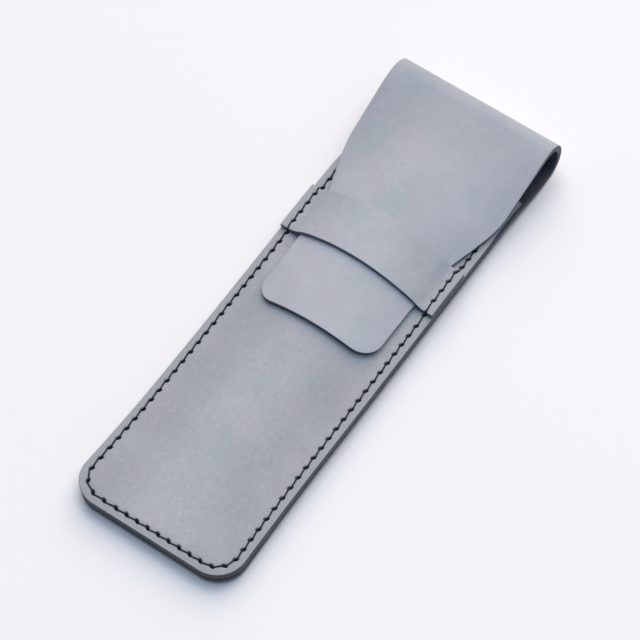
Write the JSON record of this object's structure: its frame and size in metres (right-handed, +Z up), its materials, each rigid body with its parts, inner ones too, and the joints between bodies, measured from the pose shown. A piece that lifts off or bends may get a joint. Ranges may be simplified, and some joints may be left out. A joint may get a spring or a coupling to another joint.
{
  "type": "leather pencil case",
  "caption": "Slim leather pencil case: a sewn pocket whose back folds over as a flap, with a tongue that slides under a keeper strap.",
  "frame": {"origin": "on the table, in the middle of the closed case's footprint", "axes": "+X across the case, +Y along it from the sewn bottom towards the fold, +Z up out of the strap side"},
  "size_m": [0.058, 0.181, 0.0147],
  "materials": {
    "leather": "matt grey waxed leather with a soft nap, mottled, dark at its cut edges and on its flesh side",
    "strap_leather": "the same matt grey leather, cut as a strap",
    "thread": "black waxed sewing thread"
  },
  "bodies": {
    "pocket": {"back_panel": "leather", "front_panel": "leather", "strap": "strap_leather", "stitching": "thread"},
    "loop_base": {"fold_base": "leather"},
    "loop_lower": {"fold_lower": "leather"},
    "loop_middle": {"fold_middle": "leather"},
    "loop_upper": {"fold_upper": "leather"},
    "loop_top": {"fold_top": "leather"},
    "flap": {"flap": "leather"}
  },
  "joints": [
    {"name": "flap_draw", "type": "slide", "parent": "pocket", "child": "loop_base", "axis": [0, 0.9992, 0.0411], "range_m": [0, 0.021], "deforming": ["fold_base"]},
    {"name": "flap_swing", "type": "hinge", "parent": "loop_base", "child": "loop_lower", "pos_m": [0, 0.0857, 0.00142], "axis": [-1, 0, 0], "range_deg": [0, 45.59], "deforming": ["fold_lower"]},
    {"name": "lower_bend", "type": "hinge", "parent": "loop_lower", "child": "loop_middle", "pos_m": [0, 0.08913, 0.00492], "axis": [-1, 0, 0], "range_deg": [0, 45.59], "deforming": ["fold_middle"]},
    {"name": "upper_bend", "type": "hinge", "parent": "loop_middle", "child": "loop_upper", "pos_m": [0, 0.08903, 0.00982], "axis": [-1, 0, 0], "range_deg": [0, 45.59], "deforming": ["fold_upper"]},
    {"name": "top_bend", "type": "hinge", "parent": "loop_upper", "child": "loop_top", "pos_m": [0, 0.08546, 0.01318], "axis": [-1, 0, 0], "range_deg": [0, 45.59], "deforming": ["fold_top"]},
    {"name": "flap_feed", "type": "slide", "parent": "loop_top", "child": "flap", "axis": [0, 0.9992, 0.0411], "range_m": [0, 0.021]}
  ],
  "couplings": [
    {"joint": "flap_feed", "follows": "flap_draw", "ratio": 1},
    {"joint": "lower_bend", "follows": "flap_swing", "ratio": 1},
    {"joint": "upper_bend", "follows": "flap_swing", "ratio": 1},
    {"joint": "top_bend", "follows": "flap_swing", "ratio": 1}
  ]
}
